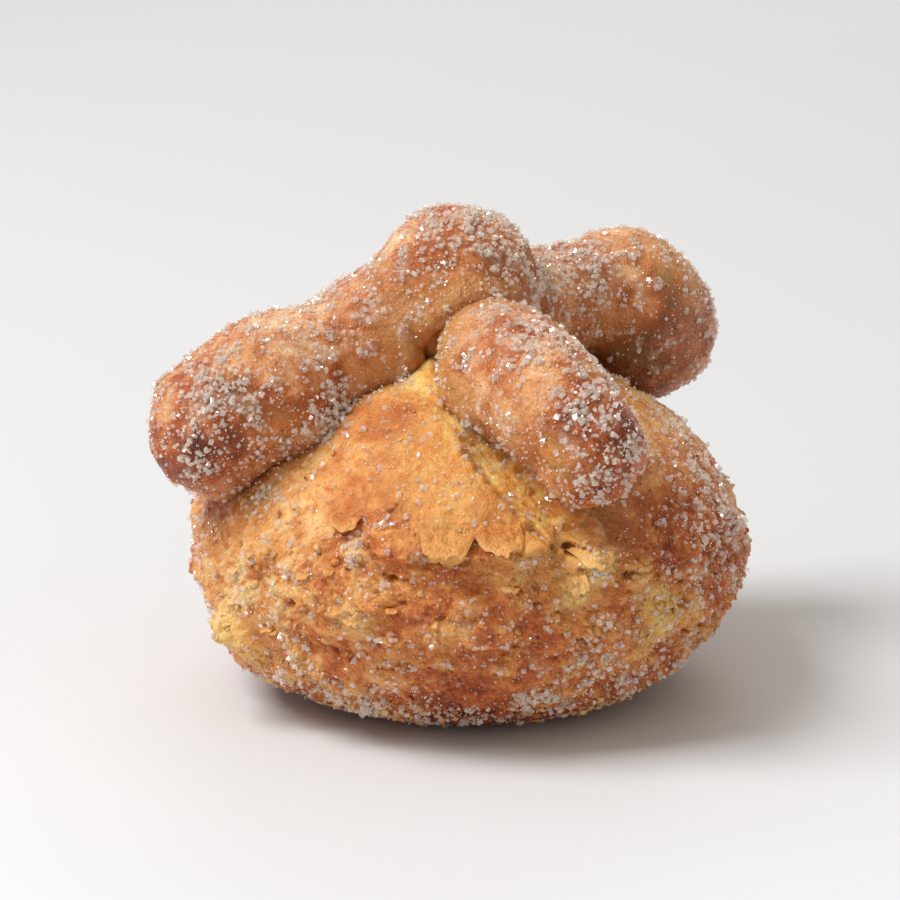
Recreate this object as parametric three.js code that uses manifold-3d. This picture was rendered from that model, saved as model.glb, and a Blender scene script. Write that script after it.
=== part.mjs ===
// Pan de muerto: a small sugared sweet bread. A round bun carries four dough bones laid
// out as a cross, and a ball of dough sits where they meet. The crust of the bun is torn
// open beside the front bone, its lower half is craggy, and coarse sugar clings to it all.
//
// Millimetres, +Z up. The origin is the middle of the flat foot that the bun stands on,
// and the side with the tear faces -Y. Every piece is a closed solid of its own. A piece
// is trimmed by the ones it was laid on, with a hair's gap left between them.

import * as THREE from "three";
import { mergeVertices } from "three/addons/utils/BufferGeometryUtils.js";
import Module from "manifold-3d";

const wasm = await Module();
wasm.setup();

// ---- Driving dimensions, in millimetres ----

const BUN = {
  radius: 39.0, // at the widest level
  widest: 22.3, // height of that level above the foot
  rise: 25.0, // from the widest level to the crown
  drop: 24.8, // from the widest level down, before the foot cuts it flat
  upperFullness: 1.95, // exponent of the outline above the widest level, 2 is an ellipse
  lowerFullness: 2.45, // exponent of the outline below it
};

const KNOB = { centre: [-1.6, -2.0, 56.8], radius: 11.6 };

// A bone follows a cubic curve from the crown outwards and droops at its end. Its girth
// is a list of [share of the length, radius]. Its hollows are where its dough is pressed
// in, each [x, y, z, depth, reach].
const BONES = [
  {
    name: "bone_left",
    path: [[-5, 0, 51.4], [-19, -6, 51], [-29.5, -13, 42.3], [-40.3, -18, 34.3]],
    girth: [[0, 10], [0.35, 8], [0.6, 11.2], [0.8, 11], [1, 9.9]],
    hollows: [[-30.5, -21.5, 31, 3.5, 6.5], [-25, -21.5, 35.5, 2.2, 6]],
    seed: 1,
  },
  {
    name: "bone_right",
    path: [[2, 1, 50.5], [10.8, 10, 53], [27.5, 20, 57], [26.4, 26, 36.5]],
    girth: [[0, 8], [0.42, 7.8], [0.6, 11.3], [0.7, 11.3], [1, 10.4]],
    hollows: [],
    seed: 3,
  },
  {
    name: "bone_front",
    path: [[0, -9, 49.5], [5, -18, 51], [13, -29, 47], [18.6, -37, 37]],
    girth: [[0, 8], [0.45, 8.6], [0.7, 8.0], [1, 8.6]],
    hollows: [[9, -36, 39.5, 2.4, 5]],
    seed: 2,
  },
  {
    name: "bone_rear",
    path: [[-3, 3, 50], [-9, 12, 51], [-15, 20, 48.5], [-20, 27, 38]],
    girth: [[0, 7.5], [0.5, 8], [1, 8.6]],
    hollows: [],
    seed: 4,
  },
];

const GAP = 0.3; // left between two pieces that touch
const CAP = 8.5; // length of a bone's round end
const BONE_LUMPS = { height: 0.6, size: 9 };
const KNOB_LUMPS = { height: 0.6, size: 6.5 };

// Where a bone lies, the bun sinks a little.
const FURROW = { depth: 2.2, halfWidth: 0.33 };

// The dough swells between the left and the front bone and low down at both sides, and the
// shoulder under the right bone is flatter.
const SWELLINGS = [
  { azimuth: -122, height: 43.5, depth: 1.9, reach: 9 },
  { azimuth: 2, height: 36, depth: -1.2, reach: 12 },
  { azimuth: -8, height: 13, depth: 0.9, reach: 8 },
  { azimuth: -152, height: 8, depth: 1.2, reach: 9 },
];

// The crust tears along this line beside the front bone: azimuth in degrees, height.
const TEAR = {
  line: [[-108, 44.5], [-92, 42.5], [-82, 39.5], [-75, 35.5], [-70, 31.0]],
  halfWidth: 2.8,
  depth: 2.9,
};

// Ragged lips of crust, each standing proud above a line at its height. Azimuths are
// its two ends in degrees, and fade is how far up the swelling runs out.
const LIPS = [
  { from: -112, to: -68, height: 28.6, slope: 0.02, stand: 1.5, fade: 7 },
  { from: -70, to: -34, height: 25.6, slope: -0.06, stand: 1.1, fade: 5 },
  { from: -134, to: -104, height: 20.6, slope: 0.03, stand: 1.0, fade: 5 },
  { from: -118, to: -58, height: 17.2, slope: 0.0, stand: 1.3, fade: 5 },
  { from: -64, to: -20, height: 15.0, slope: 0.05, stand: 1.2, fade: 4 },
  { from: -156, to: -138, height: 12.4, slope: 0.0, stand: 1.9, fade: 5 },
  { from: -20, to: 30, height: 19.0, slope: 0.03, stand: 0.7, fade: 5 },
  { from: 40, to: 96, height: 16.5, slope: 0.0, stand: 1.2, fade: 5 },
  { from: 104, to: 160, height: 20.0, slope: -0.02, stand: 1.1, fade: 5 },
  { from: 170, to: 212, height: 17.0, slope: 0.02, stand: 1.2, fade: 5 },
];

const CRAGS = { height: 0.75, across: 6.5, up: 3.6 };
const DOUGH_LUMPS = { height: 0.9, size: 17 };

const SUGAR = { least: 0.55, most: 1.05, sunk: 0.35, room: 1.2 };
const SUGAR_COUNTS = { bun: 84, knob: 20, bone: 24 };

// Facets: how finely each piece is divided.
const BUN_DETAIL = 14;
const KNOB_DETAIL = 5;
const BONE_FACETS = { cap: 4, around: 16, along: 9 };
const CRAGGY_SIDE = new THREE.Vector3(0.1, -1, 0.05).normalize();
const CRAGGY_FINENESS = 0.22; // how far the bun's facets crowd towards that side

const DEGREE = Math.PI / 180;
const UP = new THREE.Vector3(0, 0, 1);
const GOLDEN_ANGLE = Math.PI * (3 - Math.sqrt(5));

// ---- Materials ----

const dough = (name, color, roughness) =>
  new THREE.MeshStandardMaterial({ name, color, roughness, metalness: 0 });
const bunCrust = dough("bun_crust", 0xd08a3c, 0.6);
const boneCrust = dough("bone_crust", 0xc07a45, 0.55);

// ---- Small mathematics ----

const { clamp, lerp } = THREE.MathUtils;
const smooth = (low, high, x) => THREE.MathUtils.smoothstep(x, low, high);

// A repeatable number from 0 to 1 for a cell of a grid.
function cellValue(i, j, k) {
  const v = Math.sin(i * 127.1 + j * 311.7 + k * 74.7) * 43758.5453;
  return v - Math.floor(v);
}

// Smooth noise from -1 to 1, with a new value about every unit.
function noise(x, y, z) {
  const [i, j, k] = [x, y, z].map(Math.floor);
  const [u, v, w] = [x - i, y - j, z - k].map((t) => t * t * (3 - 2 * t));
  const edge = (b, c) => lerp(cellValue(i, b, c), cellValue(i + 1, b, c), u);
  const face = (c) => lerp(edge(j, c), edge(j + 1, c), v);
  return lerp(face(k), face(k + 1), w) * 2 - 1;
}

// Two sizes of smooth noise together, for lumps of dough about size across.
function lumps(point, size, seed) {
  const [x, y, z] = point.toArray().map((c) => c / size + seed);
  return (noise(x, y, z) + 0.5 * noise(2.03 * x + 7.1, 2.03 * y + 7.1, 2.03 * z + 7.1)) / 1.5;
}

// Repeatable random numbers from 0 to 1.
function seededRandom(seed) {
  let state = seed;
  return () => {
    state = (state * 16807) % 2147483647;
    return state / 2147483647;
  };
}

// The value at x on a line through [x, value] pairs, eased between them.
function along(pairs, x) {
  const next = pairs.findIndex(([at]) => at >= x);
  if (next === 0) return pairs[0][1];
  if (next < 0) return pairs[pairs.length - 1][1];
  const [[x0, y0], [x1, y1]] = [pairs[next - 1], pairs[next]];
  return lerp(y0, y1, smooth(x0, x1, x));
}

// Degrees turned from b to a, between -180 and 180.
const turn = (a, b) => ((((a - b + 180) % 360) + 360) % 360) - 180;

// ---- The bun ----

// How tall and how full the plain outline is, above its widest level or below it.
const bunHalf = (up) =>
  up > 0 ? { tall: BUN.rise, fullness: BUN.upperFullness } : { tall: BUN.drop, fullness: BUN.lowerFullness };

// The plain outline's distance from the middle of the widest level, in a direction.
function bunReach({ x, y, z }) {
  const { tall, fullness } = bunHalf(z);
  const sum = (Math.hypot(x, y) / BUN.radius) ** fullness + (Math.abs(z) / tall) ** fullness;
  return sum ** (-1 / fullness);
}

// The point of the plain outline at an azimuth in degrees and a height.
function bunPoint([azimuth, height]) {
  const up = height - BUN.widest;
  const { tall, fullness } = bunHalf(up);
  const out = BUN.radius * (1 - (Math.abs(up) / tall) ** fullness) ** (1 / fullness);
  return new THREE.Vector3(out * Math.cos(azimuth * DEGREE), out * Math.sin(azimuth * DEGREE), height);
}

const tearLine = TEAR.line.map(bunPoint);
const swellingTops = SWELLINGS.map(({ azimuth, height }) => bunPoint([azimuth, height]));

function furrows(direction) {
  const azimuth = Math.atan2(direction.y, direction.x) / DEGREE;
  const out = Math.hypot(direction.x, direction.y);
  const under = smooth(0.15, 0.75, direction.z) * smooth(0, 0.3, out);
  return BONES.reduce((sum, bone) => {
    const end = bone.path[3];
    const away = turn(azimuth, Math.atan2(end[1], end[0]) / DEGREE) * DEGREE;
    return sum - FURROW.depth * under * Math.exp(-((away / FURROW.halfWidth) ** 2));
  }, 0);
}

function swellings(point) {
  return SWELLINGS.reduce((sum, { depth, reach }, i) =>
    sum + depth * Math.exp(-((point.distanceTo(swellingTops[i]) / reach) ** 2)), 0);
}

function tear(point) {
  const nearest = new THREE.Vector3();
  let away = Infinity;
  for (let i = 1; i < tearLine.length; i++) {
    new THREE.Line3(tearLine[i - 1], tearLine[i]).closestPointToPoint(point, true, nearest);
    away = Math.min(away, nearest.distanceTo(point));
  }
  return -TEAR.depth * Math.exp(-((away / TEAR.halfWidth) ** 2));
}

function lips(point) {
  const azimuth = Math.atan2(point.y, point.x) / DEGREE;
  const ragged = 1.3 * noise(point.x / 3.1, point.y / 3.1, 5.5);
  return LIPS.reduce((sum, lip) => {
    const middle = (lip.from + lip.to) / 2;
    const beside = Math.abs(turn(azimuth, middle)) / ((lip.to - lip.from) / 2);
    const line = lip.height + lip.slope * turn(azimuth, middle) + ragged;
    const above = point.z - line;
    const proud = smooth(-0.6, 0.6, above) * Math.exp(-Math.max(above, 0) / lip.fade);
    return sum + lip.stand * proud * (1 - smooth(0.7, 1, beside));
  }, 0);
}

function crags(point) {
  const rough = noise(point.x / CRAGS.across, point.y / CRAGS.across, point.z / CRAGS.up);
  const low = 1 - smooth(24, 36, point.z);
  return CRAGS.height * rough * lerp(0.35, 1, low);
}

function bunSurface(direction, swell = 0) {
  const plain = direction.clone().multiplyScalar(bunReach(direction));
  plain.z += BUN.widest;
  const relief = furrows(direction) + swellings(plain) + tear(plain) + lips(plain) + crags(plain)
    + DOUGH_LUMPS.height * lumps(plain, DOUGH_LUMPS.size, 3.3);
  const footing = smooth(0.5, 5, plain.z); // the relief runs out towards the foot
  const point = plain.addScaledVector(direction, relief * footing + swell);
  point.z = Math.max(point.z, -swell);
  return point;
}

function bunGeometry(swell = 0) {
  return shaped(new THREE.IcosahedronGeometry(1, BUN_DETAIL), (vertex) => {
    const direction = vertex.addScaledVector(CRAGGY_SIDE, CRAGGY_FINENESS).normalize();
    return bunSurface(direction, swell);
  });
}

// ---- The bones and the knob ----

// The frame of a bone at a share of its length: where its middle is, and its directions.
function boneFrame(bone, share) {
  const middle = bone.curve.getPointAt(share);
  const forward = bone.curve.getTangentAt(share);
  const side = new THREE.Vector3().crossVectors(forward, UP).normalize();
  const top = new THREE.Vector3().crossVectors(side, forward);
  return { middle, forward, side, top, girth: along(bone.girth, share) };
}

// How far the surface of a bone stands out from its plain form at a point.
function boneRelief(bone, point) {
  const pressed = bone.hollows.reduce((sum, [x, y, z, depth, reach]) => {
    const away = point.distanceTo(new THREE.Vector3(x, y, z));
    return sum + depth * Math.exp(-((away / reach) ** 2));
  }, 0);
  return BONE_LUMPS.height * lumps(point, BONE_LUMPS.size, bone.seed) - pressed;
}

// Bends a capsule along the bone's curve. The capsule's own axis is Y.
function boneGeometry(bone, swell = 0) {
  const straight = bone.curve.getLength() - 2 * CAP;
  const { cap, around, along: steps } = BONE_FACETS;
  const capsule = new THREE.CapsuleGeometry(CAP, straight, cap, around, steps);
  return shaped(capsule, (vertex) => {
    const share = clamp((vertex.y + straight / 2 + CAP) / (straight + 2 * CAP), 0, 1);
    const { middle, forward, side, top, girth } = boneFrame(bone, share);
    const past = vertex.y - clamp(vertex.y, -straight / 2, straight / 2);
    const normal = side.clone().multiplyScalar(vertex.x / CAP)
      .addScaledVector(top, vertex.z / CAP)
      .addScaledVector(forward, past / CAP);
    const point = middle.addScaledVector(side, (vertex.x * girth) / CAP)
      .addScaledVector(top, (vertex.z * girth) / CAP);
    return point.addScaledVector(normal, boneRelief(bone, point) + swell);
  });
}

function knobSurface(direction, swell = 0) {
  const bump = KNOB_LUMPS.height * lumps(direction.clone().multiplyScalar(KNOB.radius), KNOB_LUMPS.size, 9);
  return direction.clone().multiplyScalar(KNOB.radius + bump + swell)
    .add(new THREE.Vector3(...KNOB.centre));
}

function knobGeometry(swell = 0) {
  return shaped(new THREE.IcosahedronGeometry(1, KNOB_DETAIL), (vertex) => knobSurface(vertex, swell));
}

// ---- Solids ----

// Moves every vertex of a geometry, and keeps only its positions, with shared vertices merged.
function shaped(geometry, move) {
  geometry.deleteAttribute("normal");
  geometry.deleteAttribute("uv");
  const merged = mergeVertices(geometry, 1e-4);
  const position = merged.getAttribute("position");
  const vertex = new THREE.Vector3();
  for (let i = 0; i < position.count; i++) {
    const moved = move(vertex.fromBufferAttribute(position, i).clone());
    position.setXYZ(i, moved.x, moved.y, moved.z);
  }
  return merged;
}

function solidOf(geometry) {
  return new wasm.Manifold(new wasm.Mesh({
    numProp: 3,
    vertProperties: new Float32Array(geometry.getAttribute("position").array),
    triVerts: new Uint32Array(geometry.index.array),
  }));
}

// The largest body of a solid, without the scraps that a cut leaves.
const largest = (solid) => solid.decompose().reduce((a, b) => (b.volume() > a.volume() ? b : a));

function meshOf(solid, name, material) {
  const { vertProperties, triVerts } = solid.getMesh();
  const geometry = new THREE.BufferGeometry()
    .setAttribute("position", new THREE.BufferAttribute(vertProperties, 3))
    .setIndex(new THREE.BufferAttribute(triVerts, 1));
  geometry.computeVertexNormals();
  const mesh = new THREE.Mesh(geometry, material);
  mesh.name = name;
  return mesh;
}

// ---- Coarse sugar ----

// How far a point is outside each piece, by its plain form.
const clearances = {
  bun: (point) => {
    const from = point.clone().sub(new THREE.Vector3(0, 0, BUN.widest));
    return from.length() - bunReach(from.clone().normalize());
  },
  knob: (point) => point.distanceTo(new THREE.Vector3(...KNOB.centre)) - KNOB.radius,
};
for (const bone of BONES) {
  bone.curve = new THREE.CubicBezierCurve3(...bone.path.map((p) => new THREE.Vector3(...p)));
  const stations = [...Array(17).keys()].map((i) => i / 16);
  clearances[bone.name] = (point) =>
    Math.min(...stations.map((s) => point.distanceTo(bone.curve.getPointAt(s)) - along(bone.girth, s)));
}

const isClear = (point, own) =>
  Object.entries(clearances).every(([name, away]) => name === own || away(point) > SUGAR.room + SUGAR.most);

// A crystal clump at a point of the surface, a little sunk into it.
function sugarClump(point, normal, random) {
  const size = lerp(SUGAR.least, SUGAR.most, random() ** 2);
  const place = point.clone().addScaledVector(normal, size * (0.5 - SUGAR.sunk));
  const turned = new THREE.Euler(random() * 6, random() * 6, random() * 6);
  const stretch = new THREE.Vector3(1, lerp(0.75, 1.1, random()), lerp(0.75, 1.1, random()));
  const matrix = new THREE.Matrix4().compose(place, new THREE.Quaternion().setFromEuler(turned), stretch);
  return solidOf(shaped(new THREE.IcosahedronGeometry(size, 0), (vertex) => vertex.applyMatrix4(matrix)));
}

// Sugars a solid at evenly spread places: spot(share, angle) gives a point and its normal.
function sugared(solid, name, count, seed, spot) {
  const random = seededRandom(seed);
  let made = solid;
  for (let i = 0; i < count; i++) {
    const { point, normal } = spot((i + 0.5) / count, i * GOLDEN_ANGLE + 0.4 * random());
    const clump = sugarClump(point, normal, random);
    if (isClear(point, name) && point.z > 2 * SUGAR.most) made = made.add(clump);
  }
  return largest(made);
}

// An even spiral over a sphere.
function spiral(share, angle) {
  const z = 1 - 2 * share;
  const out = Math.sqrt(1 - z * z);
  return new THREE.Vector3(out * Math.cos(angle), out * Math.sin(angle), z);
}

const bunSpot = (share, angle) => {
  const normal = spiral(share, angle);
  return { point: bunSurface(normal), normal };
};

const knobSpot = (share, angle) => {
  const normal = spiral(share, angle);
  return { point: knobSurface(normal), normal };
};

const boneSpot = (bone) => (share, angle) => {
  const { middle, side, top, girth } = boneFrame(bone, lerp(0.12, 0.9, share));
  const normal = side.multiplyScalar(Math.cos(angle)).addScaledVector(top, Math.sin(angle));
  const point = middle.addScaledVector(normal, girth);
  return { point: point.addScaledVector(normal, boneRelief(bone, point)), normal };
};

// ---- The bread ----

const loaf = new THREE.Group();
loaf.name = "pan_de_muerto";

const bun = sugared(solidOf(bunGeometry()), "bun", SUGAR_COUNTS.bun, 11, bunSpot);
loaf.add(meshOf(bun, "bun", bunCrust));

// Each piece is trimmed by a slightly swollen copy of all that was laid before it.
let laid = solidOf(bunGeometry(GAP));
for (const bone of BONES) {
  const bare = solidOf(boneGeometry(bone));
  const raw = sugared(bare, bone.name, SUGAR_COUNTS.bone, 20 + bone.seed, boneSpot(bone));
  loaf.add(meshOf(largest(raw.subtract(laid)), bone.name, boneCrust));
  laid = laid.add(solidOf(boneGeometry(bone, GAP)));
}

const ball = sugared(solidOf(knobGeometry()), "knob", SUGAR_COUNTS.knob, 31, knobSpot);
loaf.add(meshOf(largest(ball.subtract(laid)), "knob", boneCrust));

export default loaf;
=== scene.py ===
"""A pan de muerto, a small sugared sweet bread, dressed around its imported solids.

The main forms repeat the solids' named sizes. On them lie the crust's crags, pits and
torn flakes, crumbs, and some twenty-eight thousand grains of sugar. All the shapes are
worked out in millimetres and become metres only as their meshes are made.
"""
import math
from itertools import product

import bpy
import numpy as np
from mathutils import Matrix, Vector


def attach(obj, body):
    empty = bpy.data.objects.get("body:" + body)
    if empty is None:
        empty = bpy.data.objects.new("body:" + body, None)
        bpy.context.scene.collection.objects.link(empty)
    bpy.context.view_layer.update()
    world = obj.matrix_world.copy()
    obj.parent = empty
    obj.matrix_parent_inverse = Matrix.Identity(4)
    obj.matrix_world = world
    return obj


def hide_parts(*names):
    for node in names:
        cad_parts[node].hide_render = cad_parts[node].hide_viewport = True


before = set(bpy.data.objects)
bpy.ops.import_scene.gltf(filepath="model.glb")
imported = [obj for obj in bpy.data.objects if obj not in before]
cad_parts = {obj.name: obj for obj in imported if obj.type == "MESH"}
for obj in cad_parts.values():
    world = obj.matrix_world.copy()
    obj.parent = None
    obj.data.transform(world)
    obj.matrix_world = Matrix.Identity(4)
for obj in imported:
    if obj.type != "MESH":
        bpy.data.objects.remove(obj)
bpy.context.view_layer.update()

MM = 0.001

# ---- The dough's main forms, as in the solids ----

BUN = dict(radius=39.0, widest=22.3, rise=25.0, drop=24.8, upper_fullness=1.95, lower_fullness=2.45)
KNOB = dict(centre=(-1.6, -2.0, 56.8), radius=11.6)
# A bone's hollows are where its dough is pressed in: x, y, z, reach, depth.
BONES = {
    "bone_left": dict(
        path=((-5, 0, 51.4), (-19, -6, 51), (-29.5, -13, 42.3), (-40.3, -18, 34.3)),
        girth=((0, 10), (0.35, 8), (0.6, 11.2), (0.8, 11), (1, 9.9)),
        hollows=((-30.5, -21.5, 31, 6.5, 3.5), (-25, -21.5, 35.5, 6, 2.2)),
        seed=1,
    ),
    "bone_right": dict(
        path=((2, 1, 50.5), (10.8, 10, 53), (27.5, 20, 57), (26.4, 26, 36.5)),
        girth=((0, 8), (0.42, 7.8), (0.6, 11.3), (0.7, 11.3), (1, 10.4)),
        hollows=(),
        seed=3,
    ),
    "bone_front": dict(
        path=((0, -9, 49.5), (5, -18, 51), (13, -29, 47), (18.6, -37, 37)),
        girth=((0, 8), (0.45, 8.6), (0.7, 8.0), (1, 8.6)),
        hollows=((9, -36, 39.5, 5, 2.4),),
        seed=2,
    ),
    "bone_rear": dict(
        path=((-3, 3, 50), (-9, 12, 51), (-15, 20, 48.5), (-20, 27, 38)),
        girth=((0, 7.5), (0.5, 8), (1, 8.6)),
        hollows=(),
        seed=4,
    ),
}
BONE_CAP = 8.5
BONE_LUMPS = dict(height=0.6, size=9)
KNOB_LUMPS = dict(height=0.6, size=6.5)
FURROW = dict(depth=2.2, half_width=0.33)  # the half width is an angle, in radians
# Where the dough swells, or with a rise below 0 is flatter: azimuth, height, reach, rise.
SWELLINGS = (
    (-122, 43.5, 9, 1.9),
    (2, 36, 12, -1.2),
    (-8, 13, 8, 0.9),
    (-152, 8, 9, 1.2),
)
# Dough that rises into the hollow where the bones meet: x, y, z, reach, rise.
FILL = (-4.2, -9.4, 46.8, 3.2, 3.0)
TEAR = dict(
    line=((-108, 44.5), (-92, 42.5), (-82, 39.5), (-75, 35.5), (-70, 31.0)),
    half_width=3.7,
    depth=3.5,
)
# Lips of crust: azimuths of the two ends, height, slope in mm a degree, stand, fade.
LIPS = (
    (-112, -68, 28.6, 0.02, 1.5, 7),
    (-70, -34, 25.6, -0.06, 1.1, 5),
    (-134, -104, 20.6, 0.03, 1.0, 5),
    (-118, -58, 17.2, 0.0, 1.3, 5),
    (-64, -20, 15.0, 0.05, 1.2, 4),
    (-156, -138, 12.4, 0.0, 1.9, 5),
    (-20, 30, 19.0, 0.03, 0.7, 5),
    (40, 96, 16.5, 0.0, 1.2, 5),
    (104, 160, 20.0, -0.02, 1.1, 5),
    (170, 212, 17.0, 0.02, 1.2, 5),
)
# How far the edges of the tear and of the lips sway and fray, and over what length.
TEAR_EDGE = dict(sway=0.8, sway_size=1.6, fray=0.35, fray_size=0.6)
LIP_EDGE = dict(sway=1.3, sway_size=3.1, fray=0.45, fray_size=0.9)
CRAGS = dict(height=0.75, across=6.5, up=3.6)
DOUGH_LUMPS = dict(height=0.9, size=17)

# ---- Where the crust differs ----

# Browned patches of the bun, or paler with a strength below 0: azimuth, height, reach, strength. The
# strong one low at the front darkens the foot, partly as baked colour and partly as painted shade.
BROWN_PATCHES = (
    (-110, 43.2, 2.6, 0.12), (-126, 43, 5, 0.12), (-104, 35, 9, 0.17), (-84, 32, 5, 0.16),
    (-140, 22, 11, -0.16), (-134, 33, 7, -0.14), (-100, 40, 6, 0.08), (-116, 20, 5.5, 0.06),
    (-119, 13.5, 7, 0.04), (-105, 24.5, 6, 0.08), (-88, 22.5, 8, -0.03), (-72, 14, 9, 0.08),
    (-40, 31, 9, 0.28), (-20, 22, 9, 0.28), (-57, 27, 4, 0.15), (-92, 7.5, 6, 0.6),
    (-20, 34, 8, 0.12), (-95, 37, 7, 0.08), (-50, 9, 8, 0.15),
)
# Pale patches of crumb, or less crumb below 0: azimuth, height, reach, strength.
CRUMB_PATCHES = (
    (-100, 38, 6, 0.5), (-100, 45.5, 2.6, 0.8), (-110, 43.2, 2.8, -0.55), (-94, 33, 4, 0.45),
    (-49, 18.9, 3.4, 0.9), (-146, 13, 4, 0.95), (-69, 24, 3, 0.6), (-113, 20, 2.6, 0.5),
    (-64, 27.5, 2.6, 0.8),
)
# Patches of the bones and the knob: x, y, z, reach, how much browner, how much more sugared.
BONE_PATCHES = (
    (-22.6, -14.9, 53.9, 6, -0.12, 0.4), (-29.3, -15.7, 52.7, 5, -0.08, 0.1),
    (-30.3, -22.4, 46.1, 3.5, 0.26, 0.5), (-33.7, -21.1, 47.8, 4, 0.24, 0.8),
    (-31.1, -19.2, 50.1, 3.5, -0.2, -0.2), (-38.3, -23, 43.5, 6, 0.02, 0.1),
    (-40.9, -19, 35.5, 5, 0.2, -0.2), (-25.1, -21, 43, 5, 0.14, -0.3),
    (-35, -24.2, 38.3, 4, 0.24, 0.2), (-18.5, -17, 44, 3, 0.1, 0.4),
    (25, 18.8, 59.5, 6, 0.03, -0.9), (28.4, 14.1, 55.4, 4, 0.22, -0.4),
    (26.2, 11.4, 46.4, 6, 0.52, -0.4), (22.1, 13.5, 41.5, 6, 0.55, -0.4),
    # The browner patch at 17.4, 7.1, 47.5, low on the right bone's shaft, is painted shade.
    (14.4, 3.3, 56.9, 6, -0.1, 0.6), (17.4, 7.1, 47.5, 4, 0.16, -0.2),
    (1.5, -26, 51.1, 4, -0.1, -0.2), (4.2, -25.1, 54.9, 3.5, 0.12, 0.3),
    (9.3, -28.6, 55, 4.5, -0.1, 0.8), (8, -32.9, 50.1, 4.5, -0.24, -0.3),
    (12.4, -36.7, 47.7, 2.5, 0.32, 0.2), (16.8, -38.7, 46.2, 5, 0.26, 0.3),
    (10.5, -37.5, 41.5, 3, 0.22, -0.5), (18.2, -39.1, 39.7, 3.5, 0.04, 0.4),
    (-9.3, -4.2, 64.1, 4, -0.24, 0.2), (0.3, -5.9, 67.2, 4.5, 0.0, 0.7),
    (-2.4, -12.1, 61.6, 5, 0.32, 0), (5.7, -9.5, 61, 4, 0.25, 0.3), (-1.1, -13, 59, 3, -0.15, -0.2),
)
# Where the bones meet in front, and the dough between them shows its yellow crumb: x, y, z,
# reach, strength.
HEART = (-2.5, -15.0, 49.5, 11.0, 1.3)
# Patches of the bones that are more orange: x, y, z, reach, strength.
AMBER_PATCHES = (
    (25, 18.8, 59.5, 7, 0.4), (28.4, 14.1, 55.4, 4, 0.4), (24.5, 12.5, 43.5, 8, 0.15),
    (17.4, 7.1, 47, 5, 0.3), (10.5, -37.5, 41.5, 3, 0.6), (8, -32.9, 50.1, 4.5, 0.15),
    (-2, -12.5, 60, 5, 0.12), (-31.1, -19.2, 50.1, 3.5, 0.3), (-25.1, -21, 41, 4, 0.25),
)
# Heaps of pale crumbs that the bun's crust rises under: x, y, z, reach, crumbs more to the
# square mm.
CRUMB_HEAPS = (
    (17.4, -34.6, 26.8, 1.6, 1.2), (16.4, -34.8, 29, 1, 1), (14, -36.3, 23.6, 1.5, 1.2),
    (21.8, -31.8, 25, 1.8, 0.8), (25, -29.8, 22, 1.3, 0.8), (26.6, -29.2, 18.6, 2.4, 1.1),
    (23.5, -31.5, 15.5, 1.4, 0.7), (30, -25, 17, 1.6, 0.8), (13, -35.5, 31, 1.5, 0.8),
    (-31.5, -21.5, 13.2, 2.6, 1), (-22.6, -29.3, 12.4, 1.8, 0.8), (-14, -36.7, 20.4, 1, 0.8),
    (-4, -38.6, 18.4, 2.4, 0.4),
)
# Where more sugar clings: x, y, z, reach, strength.
SUGAR_CLUMPS = (
    (15.4, -34.8, 14.5, 2, 1.8), (18.2, -32.6, 12.4, 1.8, 1.8), (16, -31.6, 9.5, 2, 1),
    (21.5, -33.3, 16.8, 1.6, 1.2), (26.4, -29.4, 19, 2.4, 0.9), (29.8, -25.8, 21.5, 3, 1),
    (8.6, -32.9, 7.6, 2.6, 1.8), (12.5, -31, 4, 3, 1.1), (21.8, -26.2, 7.5, 2.8, 1.3),
    (28, -20, 9, 3, 0.7), (0.3, -31.3, 3.5, 2.5, 1.2), (-6.4, -31.4, 4.2, 2.2, 1.6),
    (-13, -30, 4.8, 3, 1.3), (-19, -27.5, 5.2, 2.8, 1.3), (-24, -25, 7.5, 2, 1.2),
    (-22.6, -29.3, 12.4, 2.4, 1.2), (-30.7, -24, 18.7, 1.8, 1.5), (-28, -21.4, 31.8, 1.8, 2),
    (15.9, -34.5, 28.6, 1.3, 2.6), (17, -35, 26.3, 1.3, 2.6), (31.2, -22.3, 28, 4, 0.9),
    (37, -11.5, 24, 6.5, 0.7), (33, -14, 33, 6, 0.5), (-17.7, -16, 44.1, 2.2, 2.2),
    (-19.9, -18.8, 43.1, 2.2, 2), (-22, -20.5, 41.6, 2.2, 1.6), (-27.5, -22.5, 39, 2.5, 0.8),
    (-32.5, -21.5, 46.8, 4, 1.6), (-38, -22.5, 40, 3.5, 0.8), (-36, -24, 37, 2.5, 1),
    (9.3, -28.6, 55, 4, 1), (15, -36, 49.5, 3.5, 1.2), (18.5, -38.5, 43, 3.5, 1.2),
    (16, -40, 38, 3, 1), (0.3, -5.9, 67.2, 4.5, 0.9), (-5, -11, 62.5, 5, 0.5),
    (14.4, 3.3, 56.9, 5, 0.8), (-4.7, -39.5, 18.1, 0.8, 1.5), (-14, -36.7, 20.4, 0.8, 1.5),
    (-24, -30.7, 24.7, 0.9, 1.2), (-15.4, -34.5, 28.8, 1, 1.2), (-10.8, -37.1, 30, 0.8, 1.2),
    (-8.2, -36.5, 13.4, 0.9, 1.5), (8, -38.2, 22.6, 0.9, 1.5), (17.8, -35.6, 19.1, 0.9, 1.5),
)

# ---- What only shows close up ----

TERRACE = dict(height=2.2, across=4.6, up=2.6, steps=5)
CLODS = dict(height=0.42, across=5.0, up=3.2)
CRUMBS = dict(height=0.17, across=1.7, up=1.2)
FIBRES = dict(height=0.3, across=0.8, along=9.0, reach=8.0)
ROUGH = dict(height=0.18, size=1.7)
GRIT = dict(height=0.07, size=0.55)
HEAP = dict(most=1.2, size=1.1)
BONE_KNOBBLES = dict(height=0.45, across=4.6, up=4.6)
BONE_CRUMBS = dict(height=0.14, across=1.6, up=1.6)
BONE_ROUGH = dict(height=0.22, size=2.6)
BONE_GRIT = dict(height=0.07, size=0.6)
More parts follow.
